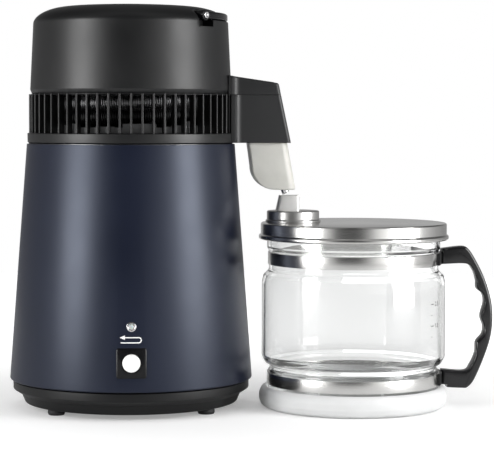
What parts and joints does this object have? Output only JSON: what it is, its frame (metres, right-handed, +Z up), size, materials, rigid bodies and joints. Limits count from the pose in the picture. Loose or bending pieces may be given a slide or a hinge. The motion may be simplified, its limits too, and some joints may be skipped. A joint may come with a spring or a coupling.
{
  "type": "water distiller",
  "caption": "Countertop water distiller: painted boiler base, lift-off fan head with grille, folding bail and spout, and a glass collection jug with steel lid and handle.",
  "frame": {"origin": "on the floor, under the middle of the whole of distiller and jug", "axes": "+Z up, front with the controls towards -Y, spout and jug towards +X"},
  "size_m": [0.4546, 0.2284, 0.3768],
  "materials": {
    "navy_paint": "satin",
    "black_satin_plastic": "satin",
    "black_gloss_plastic": "gloss",
    "white_plastic": "satin",
    "polished_steel": "polished",
    "brushed_steel": "brushed",
    "aluminium": "bare",
    "clear_glass": "clear",
    "lamp_lens": "frosted",
    "frosted_plastic": "frosted",
    "white_silicone": "matte",
    "black_rubber": "matte",
    "insulation_felt": "matte",
    "brass": "bare",
    "charcoal": "matte"
  },
  "bodies": {
    "base": {"base_pan": "black_satin_plastic", "rubber_feet": "black_rubber", "foot_screws": "polished_steel", "pan_screws": "polished_steel", "outer_shell": "navy_paint", "boiling_tank": "brushed_steel", "heater_plate": "aluminium", "heating_element": "brushed_steel", "insulation_wrap": "insulation_felt", "boil_thermostat": "brushed_steel", "thermal_fuse": "white_plastic", "terminal_block": "white_plastic", "power_inlet": "black_satin_plastic", "inlet_pins": "brass", "fan_link_socket": "black_satin_plastic", "button_plate": "black_gloss_plastic", "reset_switch": "black_satin_plastic", "button_spring": "polished_steel", "indicator_bezel": "polished_steel", "indicator_lens": "lamp_lens", "indicator_nut": "brushed_steel"},
    "head": {"head_cap": "black_satin_plastic", "grille_housing": "black_satin_plastic", "tank_seal": "white_silicone", "condenser_base": "brushed_steel", "condenser_coil": "brushed_steel", "condenser_fins": "aluminium", "steam_riser": "brushed_steel", "outlet_pipe": "brushed_steel", "motor_bracket": "brushed_steel", "fan_motor": "black_satin_plastic", "motor_screws": "polished_steel", "head_screws": "polished_steel", "nozzle_cup": "frosted_plastic", "charcoal_filter": "charcoal", "nozzle_tip": "polished_steel", "head_power_inlet": "black_satin_plastic", "handle_pins": "polished_steel"},
    "fan": {"fan_rotor": "white_plastic", "fan_shaft": "polished_steel"},
    "bail": {"carry_handle": "black_gloss_plastic"},
    "button": {"reset_button": "white_plastic"},
    "jug": {"jug_glass": "clear_glass", "jug_upper_band": "polished_steel", "jug_lower_band": "polished_steel", "band_brackets": "black_satin_plastic", "band_screws": "polished_steel", "jug_handle": "black_satin_plastic", "jug_base_pad": "white_silicone"},
    "lid": {"jug_lid": "polished_steel", "lid_seal": "white_silicone", "inlet_cap": "polished_steel", "inlet_funnel": "polished_steel"}
  },
  "joints": [
    {"name": "head_lift", "type": "slide", "parent": "base", "child": "head", "axis": [0, 0, 1], "range_m": [0, 0.2]},
    {"name": "bail_swing", "type": "hinge", "parent": "head", "child": "bail", "pos_m": [-0.11335, 0, 0.3647], "axis": [0.7547, -0.6561, 0], "range_deg": [0, 90]},
    {"name": "fan_spin", "type": "hinge", "parent": "head", "child": "fan", "pos_m": [-0.11335, 0, 0.286], "axis": [0, 0, 1], "continuous": true},
    {"name": "reset_press", "type": "slide", "parent": "base", "child": "button", "axis": [0, 0.9972, -0.0748], "range_m": [0, 0.0025], "stiffness_N_per_m": 400, "springref_m": -0.001, "deforming": ["button_spring"]},
    {"name": "jug_slide", "type": "slide", "parent": "base", "child": "jug", "axis": [1, 0, 0], "range_m": [0, 0.25]},
    {"name": "lid_turn", "type": "hinge", "parent": "jug", "child": "lid", "pos_m": [0.09555, -0.016, 0.1734], "axis": [0, 0, 1], "continuous": true}
  ]
}
